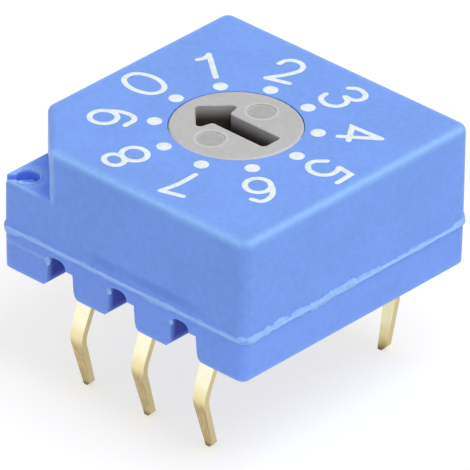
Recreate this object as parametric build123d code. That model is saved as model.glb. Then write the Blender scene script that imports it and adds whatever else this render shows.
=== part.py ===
from build123d import *
import os
from math import asin, atan2, cos, hypot, radians, sin, tan

# Ten-position BCD coded rotary switch for a printed board, in millimetres, +Z up.
# z = 0 is the plane that sits on the board, the dial turns about Z through the origin,
# position 0 lies towards -X, and the two rows of pins run along X.

# How far a cut runs past the face that it opens
OVERRUN = 1.0

# Housing as a whole
SIDE = 10.0  # over the flat sides of cover and base
BODY_HEIGHT = 4.85  # board to top of cover
SEAM_HEIGHT = 1.53  # board to the welded seam between base and cover

# Terminals, cut from strip and plated
PIN_PITCH = 2.54
ROW_SPACING = 7.62
PIN_COLUMNS = (-1, 0, 1)
PIN_THICKNESS = 0.2
PIN_WIDTH = 0.57  # where it leaves the base
PIN_KNEE_WIDTH = 0.5  # from here it tapers to its tip
PIN_TIP_WIDTH = 0.33
PIN_LENGTH = 3.76  # below the board plane
NECK_DEPTH = 0.8  # where the kink starts
KNEE_DEPTH = 1.87  # where the kink stands out most
KNEE_OUT = 0.4
TIP_IN = 0.16  # the tip stands behind the row by this much
TIP_CUT = 0.2  # height of the slanting cut on the end
TIP_FLAT = 0.15
KNEE_RADIUS = 0.8
LEAD_BEND_RADIUS = 0.3
LEAD_RUN = 0.71  # from the middle of a pin to where its finger leaves the base
LEAD_COVERING = 0.13  # plastic between a pin slot and the lead over it
BACK_ROW_SPLAY = 0.42  # the back row leans out by this much at its tips

# Contact fingers of the terminals
FINGER_WIDTH = 0.36
FINGER_NOSE_RADIUS = 0.25
FINGER_TIP = 0.35
CONTACT_GAP = 0.02  # finger to code disc

# Base
BASE_CORNER_RADIUS = 0.35
BASE_DRAFT_DEG = 1.0
BASE_FOOT_CHAMFER = 0.08
BASE_FLOOR = 0.75
SPIGOT_HEIGHT = 0.29
SPIGOT_CLEARANCE = 0.03
SPIGOT_END_WALL = 0.72  # beside the pocket, on the sides without pins
POCKET_CORNER_RADIUS = 0.6
NOTCH_WIDTH = 1.1
NOTCH_HEIGHT = 0.9
NOTCH_BACK_GAP = 0.21  # behind a pin
NOTCH_DRAFT_DEG = 4.0
NOTCH_MOUTH_RADIUS = 0.35
PIN_SLOT_WIDTH = 0.74  # flush with one side of the notch
PIN_SLOT_HEIGHT = 0.28  # above the notch
PIN_SLOT_RADIUS = 0.26  # of its arched top
NOTCH_FLATS = 3  # that make each rounding of a notch
FLASH_HEIGHT = 0.14
FLASH_PROUD = 0.06
FLASH_CHAMFER = 0.05
PIVOT_RADIUS = 0.8
PIVOT_REACH = 0.55  # above the code disc's underside

# Cover
COVER_CORNER_RADIUS = 0.35
COVER_TOP_RADIUS = 0.24
COVER_WALL = 0.8
CAVITY_CORNER_RADIUS = 2.0
INDEX_LEG = 2.03
INDEX_DEPTH = 1.74
INDEX_EDGE_RADIUS = 0.3
GATE_RADIUS = 0.38
GATE_DEPTH = 0.4
GATE_INSET = 0.57  # from each side
GATE_BREAK_WIDTH = 0.3
GATE_BREAK_DEPTH = 0.22

# Rotor
POSITIONS = 10
DIAL_RADIUS = 2.05
DIAL_CLEARANCE = 0.025
DIAL_PROUD = 0.02
DIAL_CHAMFER = 0.06
FLANGE_THICKNESS = 0.9
FLANGE_GAP = 0.3  # over the base's spigot
FLANGE_PLAY = 0.15  # under the cover's roof
SPRING_ROOM = 0.5  # rim to the wall of the cavity
PIVOT_CLEARANCE = 0.03
SCALLOP_RADIUS = 0.7
SCALLOP_DEPTH = 0.3
ARROW_TIP_INSET = 0.35  # from the dial's edge
ARROW_BARB_BACK = 0.76
ARROW_BARB_OUT = 0.96
ARROW_NECK_BACK = 0.62
ARROW_SHAFT_WIDTH = 0.76
ARROW_TAIL_INSET = 0.57
ARROW_DEPTH = 1.2
ARROW_CORNER_RADIUS = 0.13
ARROW_CHAMFER = 0.03
MARK_RADIUS = 0.46
MARK_OFFSET = 1.13
MARK_DEPTH = 0.04

# Code disc
DISC_THICKNESS = 0.15
DISC_HUB_MARGIN = 0.22  # rotor's hole to the disc
DISC_EDGE_MARGIN = 0.05  # disc to the scallops
DISC_RIM = 0.08  # metal beyond the first and last tracks
TRACK_GAP = 0.11
WINDOW_MARGIN_DEG = 3.0

# Seal
SEAL_SECTION = 0.6
SEAL_CLEARANCE = 0.02

# Click springs
SPRING_THICKNESS = 0.12
SPRING_END_CLEARANCE = 0.2  # to where the cavity's corners start
SPRING_PLAY = 0.03
SPRING_STANDOFF = 0.12  # shoulder to the rotor's rim
BUMP_CLEARANCE = 0.05
BUMP_RADIUS = 0.4
BUMP_SIDE_DEG = 50.0
SHOULDER_RADIUS = 0.25

# Each terminal: column and row of its pin, weight of its bit (0 is the common) and track counted
# from the common ring
FRONT = -1
BACK = 1
TERMINALS = {
    "terminal_bit_1": (-1, FRONT, 1, 4),
    "terminal_common_front": (0, FRONT, 0, 0),
    "terminal_bit_2": (1, FRONT, 2, 3),
    "terminal_bit_8": (-1, BACK, 8, 1),
    "terminal_common_back": (0, BACK, 0, 0),
    "terminal_bit_4": (1, BACK, 4, 2),
}

# Angle at which each terminal's finger meets the code disc
CONTACT_DEG = {
    "terminal_bit_1": 209.0,
    "terminal_common_front": 270.0,
    "terminal_bit_2": 325.5,
    "terminal_bit_8": 121.0,
    "terminal_common_back": 90.0,
    "terminal_bit_4": 43.0,
}

# Heights that follow from the stack of pieces
SPIGOT_TOP = SEAM_HEIGHT + SPIGOT_HEIGHT
DISC_BOTTOM = SPIGOT_TOP + FLANGE_GAP
FLANGE_TOP = DISC_BOTTOM + FLANGE_THICKNESS
CAVITY_TOP = FLANGE_TOP + FLANGE_PLAY
SEAL_TOP = FLANGE_TOP + SEAL_SECTION + 2 * SEAL_CLEARANCE
DIAL_TOP = BODY_HEIGHT + DIAL_PROUD
PIVOT_TOP = DISC_BOTTOM + PIVOT_REACH
LEDGE_HEIGHT = BODY_HEIGHT - INDEX_DEPTH
PIN_SLOT_TOP = NOTCH_HEIGHT + PIN_SLOT_HEIGHT
LEAD_HEIGHT = PIN_SLOT_TOP + LEAD_COVERING + PIN_THICKNESS / 2
STEP_DEG = 360.0 / POSITIONS

# Sizes in plan that follow from the pieces that they fit
CAVITY_SIDE = SIDE - 2 * COVER_WALL
SPIGOT_SIDE = CAVITY_SIDE - 2 * SPIGOT_CLEARANCE
POCKET_LENGTH = SPIGOT_SIDE - 2 * SPIGOT_END_WALL
POCKET_WIDTH = ROW_SPACING - 2 * LEAD_RUN
NOTCH_DEPTH = (SIDE - ROW_SPACING + PIN_THICKNESS) / 2 + NOTCH_BACK_GAP
FLANGE_RADIUS = CAVITY_SIDE / 2 - SPRING_ROOM
SPRING_SPAN = CAVITY_SIDE - 2 * CAVITY_CORNER_RADIUS - 2 * SPRING_END_CLEARANCE
HUB_RADIUS = PIVOT_RADIUS + PIVOT_CLEARANCE
DISC_INNER = HUB_RADIUS + DISC_HUB_MARGIN
DISC_OUTER = FLANGE_RADIUS - SCALLOP_DEPTH - DISC_EDGE_MARGIN
TRACKS = 1 + max(track for _, _, _, track in TERMINALS.values())
TRACK_WIDTH = (DISC_OUTER - DISC_INNER - 2 * DISC_RIM - (TRACKS - 1) * TRACK_GAP) / TRACKS


def at_height(height, sketch):
    """A sketch drawn in plan, lifted to a height."""
    return Pos(0, 0, height) * sketch


def plate(bottom, top, sketch):
    """A plan sketch raised from one height to another."""
    return extrude(at_height(bottom, sketch), amount=top - bottom)


def drum(bottom, top, radius):
    """An upright cylinder on the dial axis."""
    return plate(bottom, top, Circle(radius))


def polar(radius, angle):
    """Plan point at a radius and an angle in degrees."""
    return (radius * cos(radians(angle)), radius * sin(radians(angle)))


def track_radius(track):
    """Middle of a contact track; track 0 is the common ring."""
    return DISC_INNER + DISC_RIM + TRACK_WIDTH / 2 + track * (TRACK_WIDTH + TRACK_GAP)


def chords(centre, radius, start, sweep_angle):
    """Points along an arc that is cut as a few flats, in degrees from its start."""
    step = sweep_angle / NOTCH_FLATS
    spokes = [polar(radius, start + step * count) for count in range(NOTCH_FLATS + 1)]
    return [(centre[0] + across, centre[1] + up) for across, up in spokes]


def notch_cutter():
    """Notch with a rounded mouth and drafted sides, and the arched pin slot that runs on from its left."""
    mouth = NOTCH_WIDTH / 2
    roof = mouth - (NOTCH_HEIGHT - NOTCH_MOUTH_RADIUS) * tan(radians(NOTCH_DRAFT_DEG))
    slot = PIN_SLOT_WIDTH - roof
    arch_height = PIN_SLOT_TOP - PIN_SLOT_RADIUS
    lip = (mouth + NOTCH_MOUTH_RADIUS, NOTCH_MOUTH_RADIUS)
    foot = [(lip[0], -OVERRUN), *chords(lip, NOTCH_MOUTH_RADIUS, 270, -90)]
    step = [(roof, NOTCH_HEIGHT), (slot, NOTCH_HEIGHT)]
    arch = [
        *chords((slot - PIN_SLOT_RADIUS, arch_height), PIN_SLOT_RADIUS, 0, 90),
        *chords((PIN_SLOT_RADIUS - roof, arch_height), PIN_SLOT_RADIUS, 90, 90),
    ]
    left = [(-across, up) for across, up in reversed(foot)]
    outline = make_face(Polyline(*foot, *step, *arch, *left, close=True))
    return extrude(Plane.XZ * outline, amount=NOTCH_DEPTH + OVERRUN)


def base(terminals):
    """Floor of the housing, moulded round the terminals."""
    foot = RectangleRounded(SIDE, SIDE, BASE_CORNER_RADIUS)
    body = extrude(at_height(SEAM_HEIGHT, foot), amount=SEAM_HEIGHT, dir=(0, 0, -1), taper=BASE_DRAFT_DEG)
    body = chamfer(body.faces().sort_by(Axis.Z)[0].outer_wire().edges(), BASE_FOOT_CHAMFER)

    flash_side = SIDE + 2 * FLASH_PROUD
    flash_outline = RectangleRounded(flash_side, flash_side, BASE_CORNER_RADIUS + FLASH_PROUD)
    flash = plate(SEAM_HEIGHT - FLASH_HEIGHT, SEAM_HEIGHT, flash_outline)
    flash_rims = flash.edges().group_by(Axis.Z)
    flash = chamfer(flash_rims[0] + flash_rims[-1], FLASH_CHAMFER)

    spigot = RectangleRounded(SPIGOT_SIDE, SPIGOT_SIDE, CAVITY_CORNER_RADIUS - SPIGOT_CLEARANCE)
    pocket = RectangleRounded(POCKET_LENGTH, POCKET_WIDTH, POCKET_CORNER_RADIUS)
    body = body + flash + plate(SEAM_HEIGHT, SPIGOT_TOP, spigot)
    body = body - plate(BASE_FLOOR, SPIGOT_TOP + OVERRUN, pocket)
    body = body + drum(BASE_FLOOR, PIVOT_TOP, PIVOT_RADIUS)

    cutter = Pos(0, NOTCH_DEPTH - SIDE / 2, 0) * notch_cutter()
    for column in PIN_COLUMNS:
        front = Pos(column * PIN_PITCH, 0, 0) * cutter
        body = body - front - mirror(front, about=Plane.XZ)
    for piece in terminals:
        body = body - piece
    return body


def cover_plan():
    """Plan of the cover above the index ledge, with the index corner cut off and its ends rounded."""
    near = -SIDE / 2 - OVERRUN
    far = INDEX_LEG + OVERRUN - SIDE / 2
    corner = make_face(Polyline((near, near), (far, near), (near, far), close=True))
    plan = RectangleRounded(SIDE, SIDE, COVER_CORNER_RADIUS) - corner
    cut_ends = plan.vertices().sort_by(Axis((0, 0, 0), (1, 1, 0)))[:2]
    return fillet(cut_ends, INDEX_EDGE_RADIUS)


def cover():
    """Shell over the base, with the dial opening, the index corner and its broken gate dimple."""
    body = plate(LEDGE_HEIGHT, BODY_HEIGHT, cover_plan())
    body = fillet(body.faces().sort_by(Axis.Z)[-1].outer_wire().edges(), COVER_TOP_RADIUS)
    body = body + plate(SEAM_HEIGHT, LEDGE_HEIGHT, RectangleRounded(SIDE, SIDE, COVER_CORNER_RADIUS))

    cavity = RectangleRounded(CAVITY_SIDE, CAVITY_SIDE, CAVITY_CORNER_RADIUS)
    body = body - plate(SEAM_HEIGHT - OVERRUN, CAVITY_TOP, cavity)
    seal_pocket = DIAL_RADIUS + SEAL_SECTION + 2 * SEAL_CLEARANCE
    body = body - drum(CAVITY_TOP - OVERRUN, SEAL_TOP, seal_pocket)
    body = body - drum(SEAL_TOP - OVERRUN, BODY_HEIGHT + OVERRUN, DIAL_RADIUS + DIAL_CLEARANCE)

    gate = Pos(GATE_INSET - SIDE / 2, GATE_INSET - SIDE / 2, 0)
    dimple = plate(LEDGE_HEIGHT - GATE_DEPTH, LEDGE_HEIGHT + OVERRUN, Circle(GATE_RADIUS))
    slit = Pos(-GATE_INSET, 0, 0) * Rectangle(2 * GATE_INSET, GATE_BREAK_WIDTH)
    slit = plate(LEDGE_HEIGHT - GATE_BREAK_DEPTH, LEDGE_HEIGHT + OVERRUN, slit)
    return body - gate * dimple - gate * Rot(0, 0, 45) * slit


def arrow_slot():
    """Driver slot in the shape of an arrow that points at the number set."""
    shaft = ARROW_SHAFT_WIDTH / 2
    tip = ARROW_TIP_INSET - DIAL_RADIUS
    tail = DIAL_RADIUS - ARROW_TAIL_INSET
    outline = make_face(
        Polyline(
            (tip, 0),
            (-ARROW_BARB_BACK, ARROW_BARB_OUT),
            (-ARROW_NECK_BACK, shaft),
            (tail, shaft),
            (tail, -shaft),
            (-ARROW_NECK_BACK, -shaft),
            (-ARROW_BARB_BACK, -ARROW_BARB_OUT),
            close=True,
        )
    )
    outline = fillet(outline.vertices(), ARROW_CORNER_RADIUS)
    return plate(DIAL_TOP - ARROW_DEPTH, DIAL_TOP + OVERRUN, outline)


def rotor():
    """Dial, neck and scalloped flange in one moulding, with the code disc's seat in its underside."""
    section = Polyline(
        (HUB_RADIUS, DISC_BOTTOM),
        (FLANGE_RADIUS, DISC_BOTTOM),
        (FLANGE_RADIUS, FLANGE_TOP),
        (DIAL_RADIUS, FLANGE_TOP),
        (DIAL_RADIUS, DIAL_TOP),
        (0, DIAL_TOP),
        (0, PIVOT_TOP + PIVOT_CLEARANCE),
        (HUB_RADIUS, PIVOT_TOP + PIVOT_CLEARANCE),
        close=True,
    )
    body = revolve(Plane.XZ * make_face(section), axis=Axis.Z)
    body = chamfer(body.edges().group_by(Axis.Z)[-1], DIAL_CHAMFER) - arrow_slot()
    body = chamfer(body.faces().sort_by(Axis.Z)[-1].inner_wires()[0].edges(), ARROW_CHAMFER)

    scallop = drum(DISC_BOTTOM - OVERRUN, FLANGE_TOP, SCALLOP_RADIUS)
    centre = FLANGE_RADIUS - SCALLOP_DEPTH + SCALLOP_RADIUS
    for place in PolarLocations(centre, POSITIONS):
        body = body - place * scallop
    mark = drum(DIAL_TOP - MARK_DEPTH, DIAL_TOP + OVERRUN, MARK_RADIUS)
    for side in (-1, 1):
        body = body - Pos(0, side * MARK_OFFSET, 0) * mark
    seat = Circle(DISC_OUTER) - Circle(DISC_INNER)
    return body - plate(DISC_BOTTOM, DISC_BOTTOM + DISC_THICKNESS, seat)


def code_window(track, start, end):
    """Plan outline of an opening in a contact track, between two angles."""
    inner = track_radius(track) - TRACK_WIDTH / 2
    outer = track_radius(track) + TRACK_WIDTH / 2
    sweep_angle = end - start
    far = CenterArc((0, 0), outer, start, sweep_angle)
    near = CenterArc((0, 0), inner, start, sweep_angle)
    sides = [Line(polar(inner, angle), polar(outer, angle)) for angle in (start, end)]
    return make_face([far.edge(), near.edge(), sides[0].edge(), sides[1].edge()])


def open_runs(weight):
    """Runs of neighbouring positions whose bit is off, as first and last; the last may pass the end."""
    is_off = [not position & weight for position in range(POSITIONS)]
    starts = [p for p in range(POSITIONS) if is_off[p] and not is_off[p - 1]]
    runs = []
    for start in starts:
        end = start
        while is_off[(end + 1) % POSITIONS]:
            end += 1
        runs.append((start, end))
    return runs


def code_disc():
    """Plated disc with an unbroken common ring and one coded track for each bit."""
    sketch = Circle(DISC_OUTER) - Circle(DISC_INNER)
    for name, (_, _, weight, track) in TERMINALS.items():
        if weight:
            for first, last in open_runs(weight):
                start = CONTACT_DEG[name] + (first - 0.5) * STEP_DEG + WINDOW_MARGIN_DEG
                end = CONTACT_DEG[name] + (last + 0.5) * STEP_DEG - WINDOW_MARGIN_DEG
                sketch = sketch - code_window(track, start, end)
    return plate(DISC_BOTTOM, DISC_BOTTOM + DISC_THICKNESS, sketch)


def seal():
    """Square-cut rubber ring on the flange, round the dial's neck."""
    inner = DIAL_RADIUS + SEAL_CLEARANCE
    bottom = FLANGE_TOP + SEAL_CLEARANCE
    return plate(bottom, bottom + SEAL_SECTION, Circle(inner + SEAL_SECTION) - Circle(inner))


def click_spring(side):
    """Leaf spring along one cavity wall, its bump in a scallop of the rotor; side is -1 or 1 along X."""
    half = SPRING_THICKNESS / 2
    wall = CAVITY_SIDE / 2 - SPRING_PLAY - half
    shoulder = FLANGE_RADIUS + SPRING_STANDOFF + half
    slope = radians(BUMP_SIDE_DEG)
    apex = FLANGE_RADIUS - SCALLOP_DEPTH + BUMP_CLEARANCE + half
    peak = apex - BUMP_RADIUS * (1 / cos(slope) - 1)
    foot = (shoulder - peak) / tan(slope)
    bottom = SPIGOT_TOP + SPRING_PLAY
    height = CAVITY_TOP - SPRING_PLAY - bottom
    route = [
        (side * wall, -SPRING_SPAN / 2),
        (side * shoulder, -foot),
        (side * peak, 0),
        (side * shoulder, foot),
        (side * wall, SPRING_SPAN / 2),
    ]
    path = at_height(bottom, FilletPolyline(*route, radius=[SHOULDER_RADIUS, BUMP_RADIUS, SHOULDER_RADIUS]))
    start = Plane(origin=path @ 0, x_dir=(0, 0, 1), z_dir=path % 0)
    section = start * Pos(height / 2, 0, 0) * Rectangle(height, SPRING_THICKNESS)
    return sweep(section, path=path)


def pin_outline(pin_x):
    """Front view of a pin: wide at the base, tapered below the kink, with a slanting cut end."""
    top = PIN_WIDTH / 2
    knee = PIN_KNEE_WIDTH / 2
    tip = PIN_TIP_WIDTH / 2
    outline = Polyline(
        (-top, OVERRUN),
        (-top, -NECK_DEPTH),
        (-knee, -KNEE_DEPTH),
        (-tip, -PIN_LENGTH),
        (TIP_FLAT - tip, -PIN_LENGTH),
        (tip, TIP_CUT - PIN_LENGTH),
        (knee, -KNEE_DEPTH),
        (top, -NECK_DEPTH),
        (top, OVERRUN),
        close=True,
    )
    return Pos(pin_x, 0, 0) * extrude(Plane.XZ * make_face(outline), amount=SIDE, both=True)


def finger_outline(pin_x, row, contact, root, tip):
    """Plan of a terminal above the board: lead, then a finger that runs across to its contact point."""
    contact_x, contact_out = contact
    wide = PIN_WIDTH / 2
    slim = FINGER_WIDTH / 2
    outer = ROW_SPACING / 2 + PIN_THICKNESS
    lead = [(pin_x, wide, outer), (pin_x, wide, root)]
    stations = [*lead, (contact_x, slim, contact_out), (contact_x, slim, tip)]
    right = [(x + half, row * out) for x, half, out in stations]
    left = [(x - half, row * out) for x, half, out in reversed(stations)]
    return plate(0, DISC_BOTTOM, make_face(Polyline(*right, *left, close=True)))


def terminal(column, row, track, angle):
    """One terminal: kinked pin, lead through the base and sprung contact finger."""
    pin_x = column * PIN_PITCH
    contact_x, contact_y = polar(track_radius(track), angle)
    contact_out = abs(contact_y)
    splay = BACK_ROW_SPLAY if row == BACK else 0
    exit_out = ROW_SPACING / 2

    # The finger climbs from its root along the tangent to the round nose under the disc
    root = exit_out - LEAD_RUN
    nose_centre = DISC_BOTTOM - CONTACT_GAP - PIN_THICKNESS / 2 - FINGER_NOSE_RADIUS
    run = root - contact_out
    climb = nose_centre - LEAD_HEIGHT
    rise = atan2(climb, run) + asin(FINGER_NOSE_RADIUS / hypot(run, climb))
    nose = nose_centre + FINGER_NOSE_RADIUS / cos(rise)
    tip = contact_out - FINGER_TIP * cos(rise)

    def leaned(out, depth):
        """Point of the pin at a depth, standing out from its row, with the row's lean added."""
        return (exit_out + out + splay * depth / PIN_LENGTH, -depth)

    knee = leaned(KNEE_OUT, KNEE_DEPTH)
    end = leaned(-TIP_IN, PIN_LENGTH)
    past_end = OVERRUN / hypot(end[0] - knee[0], end[1] - knee[1])
    start = (end[0] + (end[0] - knee[0]) * past_end, end[1] + (end[1] - knee[1]) * past_end)
    bends = [(knee, KNEE_RADIUS), (leaned(0, NECK_DEPTH), KNEE_RADIUS)]
    if splay:
        bends.append(((exit_out, 0), KNEE_RADIUS))
    bends.append(((exit_out, LEAD_HEIGHT), LEAD_BEND_RADIUS))
    bends.append(((root, LEAD_HEIGHT), LEAD_BEND_RADIUS))
    bends.append(((contact_out, nose), FINGER_NOSE_RADIUS))
    route = [start, *[point for point, _ in bends], (tip, nose - FINGER_TIP * sin(rise))]
    points = [(0, row * out, height) for out, height in route]
    path = FilletPolyline(*points, radius=[radius for _, radius in bends])
    section = Plane(origin=path @ 0, x_dir=(1, 0, 0), z_dir=path % 0) * Rectangle(2 * SIDE, PIN_THICKNESS)
    strip = sweep(section, path=path)
    below = pin_outline(pin_x) & plate(-PIN_LENGTH, 0, Rectangle(2 * SIDE, 2 * SIDE))
    blank = below + finger_outline(pin_x, row, (contact_x, contact_out), root, tip)
    return strip & blank


def build():
    """Every piece of the switch by its node's name."""
    pieces = {}
    for name, (column, row, _, track) in TERMINALS.items():
        pieces[name] = terminal(column, row, track, CONTACT_DEG[name])
    pieces["base"] = base(list(pieces.values()))
    pieces["cover"] = cover()
    pieces["code_disc"] = code_disc()
    pieces["rotor"] = rotor()
    pieces["seal"] = seal()
    pieces["click_spring_left"] = click_spring(-1)
    pieces["click_spring_right"] = click_spring(1)
    return pieces


os.makedirs("parts", exist_ok=True)
for node, shape in build().items():
    export_step(shape, f"parts/{node}.step")
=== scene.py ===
"""Dresses a ten-position coded switch and prints its face, in the frame of its CAD parts."""

import logging
import math
from dataclasses import dataclass, field
from enum import Enum
from functools import partial, reduce

import bmesh
import bpy
from mathutils import Matrix, Vector, noise


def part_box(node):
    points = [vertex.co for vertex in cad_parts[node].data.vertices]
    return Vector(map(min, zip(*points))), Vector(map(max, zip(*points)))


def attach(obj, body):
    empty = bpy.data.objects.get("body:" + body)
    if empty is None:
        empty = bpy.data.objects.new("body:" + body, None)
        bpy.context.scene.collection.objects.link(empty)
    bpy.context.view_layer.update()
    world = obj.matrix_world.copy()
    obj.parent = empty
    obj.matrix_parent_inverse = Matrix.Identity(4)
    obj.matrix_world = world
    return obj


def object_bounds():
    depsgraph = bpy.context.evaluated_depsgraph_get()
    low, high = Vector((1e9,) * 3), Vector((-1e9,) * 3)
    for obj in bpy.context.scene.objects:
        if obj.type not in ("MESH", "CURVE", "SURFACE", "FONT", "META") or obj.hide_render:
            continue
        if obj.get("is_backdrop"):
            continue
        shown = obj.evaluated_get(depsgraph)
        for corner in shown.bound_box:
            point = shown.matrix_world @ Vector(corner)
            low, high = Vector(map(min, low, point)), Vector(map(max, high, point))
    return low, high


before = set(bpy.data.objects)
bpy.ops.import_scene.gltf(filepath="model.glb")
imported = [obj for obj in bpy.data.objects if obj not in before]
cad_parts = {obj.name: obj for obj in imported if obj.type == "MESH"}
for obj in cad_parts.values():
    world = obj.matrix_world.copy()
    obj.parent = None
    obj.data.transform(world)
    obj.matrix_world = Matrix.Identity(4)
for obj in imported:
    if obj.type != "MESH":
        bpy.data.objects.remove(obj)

LOG = logging.getLogger("switch")
MM = 0.001

Point = tuple[float, float]
Triple = tuple[float, float, float]
Colour = Triple
Shape = bmesh.types.BMesh
Material = bpy.types.Material
Socket = bpy.types.NodeSocket
Term = Socket | float
Inputs = dict[str | int, Term | list[float] | tuple[float, ...]]

# Ranges that values are mapped from and to: most of a noise pattern, a share that grows and one that fades.
USUAL: Point = (0.3, 0.7)
GROWING: Point = (0.0, 1.0)
FADING: Point = (1.0, 0.0)

# How many finer layers a noise pattern has: in even grain, by default, and in ragged patches.
PLAIN, FINE, RAGGED = 1.0, 2.0, 3.0


class Body(Enum):
    """The body that new pieces ride on."""

    HOUSING = "housing"


class Slot(Enum):
    """The record's material slots; no piece here is given one."""

    HOUSING = "housing"
    PRINT = "print"


class Pen(Enum):
    """How a pen stroke runs between its points, as the handles of its curve."""

    CURVED = "AUTO"
    STRAIGHT = "VECTOR"


def scaled(colour: Colour, factor: float) -> Colour:
    """Returns a colour made lighter or darker by a factor."""
    return (colour[0] * factor, colour[1] * factor, colour[2] * factor)


def clamped(value: float, low: float = 0.0) -> float:
    """Returns a value held between a lower limit and 1."""
    return min(1.0, max(low, value))


def add_node(tree: bpy.types.NodeTree, kind: str, inputs: Inputs, **options: str) -> bpy.types.Node:
    """Adds a node and fills its inputs.

    Args:
        tree: the nodes that it is added to.
        kind: its type, without what all shader nodes' types start with.
        inputs: for an input's name or number, the socket that is joined to it or the value that it gets.
        options: the node's own options.

    Returns:
        The node.
    """
    node = tree.nodes.new(f"ShaderNode{kind}")
    for name, option in options.items():
        setattr(node, name, option)
    for key, value in inputs.items():
        if isinstance(value, Socket):
            tree.links.new(value, node.inputs[key])
        else:
            node.inputs[key].default_value = value
    return node


def seen_share(tree: bpy.types.NodeTree) -> Socket:
    """Adds a share that is 1 for the rays of the camera and those that mirrors and glass pass on.

    Args:
        tree: the nodes that it is added to.

    Returns:
        The share.
    """
    path = add_node(tree, "LightPath", {})
    share = path.outputs["Is Camera Ray"]
    for ray in ("Is Glossy Ray", "Is Transmission Ray"):
        share = add_node(tree, "Math", {0: share, 1: path.outputs[ray]}, operation="MAXIMUM").outputs[0]
    return share


class ShaderGraph:
    """A material's nodes, with short calls that add and join them."""

    # The inputs and the output of a mix node that are for colours.
    MIX_COLOURS = (6, 7)
    MIX_RESULT = 2

    def __init__(self, name: str) -> None:
        """Starts a material with a principled shader on its output.

        Args:
            name: the material's name.
        """
        self.material = bpy.data.materials.new(name)
        self.material.use_nodes = True
        self.tree = self.material.node_tree
        self.tree.nodes.clear()
        self.node = partial(add_node, self.tree)
        self.shader = self.node("BsdfPrincipled", {})
        self.node("OutputMaterial", {"Surface": self.shader.outputs[0]})
        source = self.node("TexCoord", {})
        self.place = source.outputs["Object"]
        self.normal = source.outputs["Normal"]

    def set(self, **values: float) -> None:
        """Sets sockets of the shader, named with underscores for spaces."""
        for name, value in values.items():
            self.shader.inputs[name.replace("_", " ")].default_value = value

    def feed(self, socket: Socket, name: str) -> None:
        """Joins a socket to an input of the shader."""
        self.tree.links.new(socket, self.shader.inputs[name])

    def noise(self, size: float, detail: float = FINE, stretch: Triple = (1.0, 1.0, 1.0)) -> Socket:
        """Adds a noise pattern on the piece's own coordinates.

        Args:
            size: about how long one blotch is, in metres.
            detail: how many finer layers it has.
            stretch: how much longer the blotches are along each axis.

        Returns:
            The pattern's strength, around a half.
        """
        mapping = self.node("Mapping", {"Vector": self.place, "Scale": [1 / (size * s) for s in stretch]})
        inputs = {"Vector": mapping.outputs["Vector"], "Scale": 1.0, "Detail": detail}
        return self.node("TexNoise", inputs).outputs["Fac"]

    def height(self, low: float, high: float) -> Socket:
        """Returns a share that goes from 0 at one height of the frame, in metres, to 1 at another."""
        return self.remap(self.axis("Z"), (low, high), GROWING)

    def axis(self, name: str) -> Socket:
        """Returns one coordinate of the piece's own place, in metres."""
        return self.part(self.place, name)

    def facing(self, name: str) -> Socket:
        """Returns how squarely the surface faces along an axis, either way."""
        return self.sum("ABSOLUTE", self.part(self.normal, name))

    def part(self, vector: Socket, name: str) -> Socket:
        """Returns one part of a vector."""
        return self.node("SeparateXYZ", {"Vector": vector}).outputs[name]

    def sum(self, operation: str, *terms: Term) -> Socket:
        """Returns the result of a math node's operation on sockets or numbers."""
        return self.node("Math", dict(enumerate(terms)), operation=operation).outputs[0]

    def product(self, *shares: Socket) -> Socket:
        """Returns the product of two or more shares."""
        return reduce(partial(self.sum, "MULTIPLY"), shares)

    def gap(self, socket: Socket, value: float) -> Socket:
        """Returns how far a socket's value is from a number, either way."""
        return self.sum("ABSOLUTE", self.sum("SUBTRACT", socket, value))

    def distance(self, across: Socket, along: Socket) -> Socket:
        """Returns how far a point is from the origin of two coordinates."""
        squares = self.product(across, across), self.product(along, along)
        return self.sum("SQRT", self.sum("ADD", *squares))

    def from_line(self, spot: Point) -> Socket:
        """Returns how far a point is from the upright line through a spot."""
        return self.distance(*(self.sum("SUBTRACT", self.axis(name), at) for name, at in zip("XY", spot)))

    def outward(self) -> Socket:
        """Returns how far out towards the walls of the housing a point is."""
        return self.sum("MAXIMUM", *(self.sum("ABSOLUTE", self.axis(name)) for name in "XY"))

    def remap(self, socket: Socket, source: Point, target: Point) -> Socket:
        """Adds a map from one range of values to another, held at its ends.

        Args:
            socket: the value to map.
            source: the range that it has.
            target: the range that it gets.

        Returns:
            The mapped value.
        """
        names = ("Value", "From Min", "From Max", "To Min", "To Max")
        inputs = dict(zip(names, (socket, *source, *target)))
        return self.node("MapRange", inputs, interpolation_type="SMOOTHSTEP").outputs["Result"]

    def mask(self, *parts: tuple[Socket, Point, Point]) -> Socket:
        """Returns the product of several values, each mapped from one range to another."""
        return self.product(*(self.remap(*part) for part in parts))

    def blend(self, share: Socket, first: Colour | Socket, second: Colour | Socket) -> Socket:
        """Adds a mix of two colours.

        Args:
            share: how much of the second colour there is.
            first: a colour, or the socket of one.
            second: a colour, or the socket of one.

        Returns:
            The mixed colour.
        """
        colours = ((*colour, 1.0) if isinstance(colour, tuple) else colour for colour in (first, second))
        inputs = {"Factor": share, **dict(zip(self.MIX_COLOURS, colours))}
        return self.node("Mix", inputs, data_type="RGBA").outputs[self.MIX_RESULT]

    def dim(self, colour: Socket, factor: Socket) -> Socket:
        """Returns a colour made lighter or darker by a factor that varies from place to place."""
        return self.node("VectorMath", {0: colour, "Scale": factor}, operation="SCALE").outputs[0]

    def relief(self, socket: Socket, depth: float, strength: float) -> None:
        """Feeds the shader's normal with a bump of a pattern, its depth in metres."""
        bump = self.node("Bump", {"Strength": strength, "Distance": depth, "Height": socket})
        self.feed(bump.outputs["Normal"], "Normal")


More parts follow.
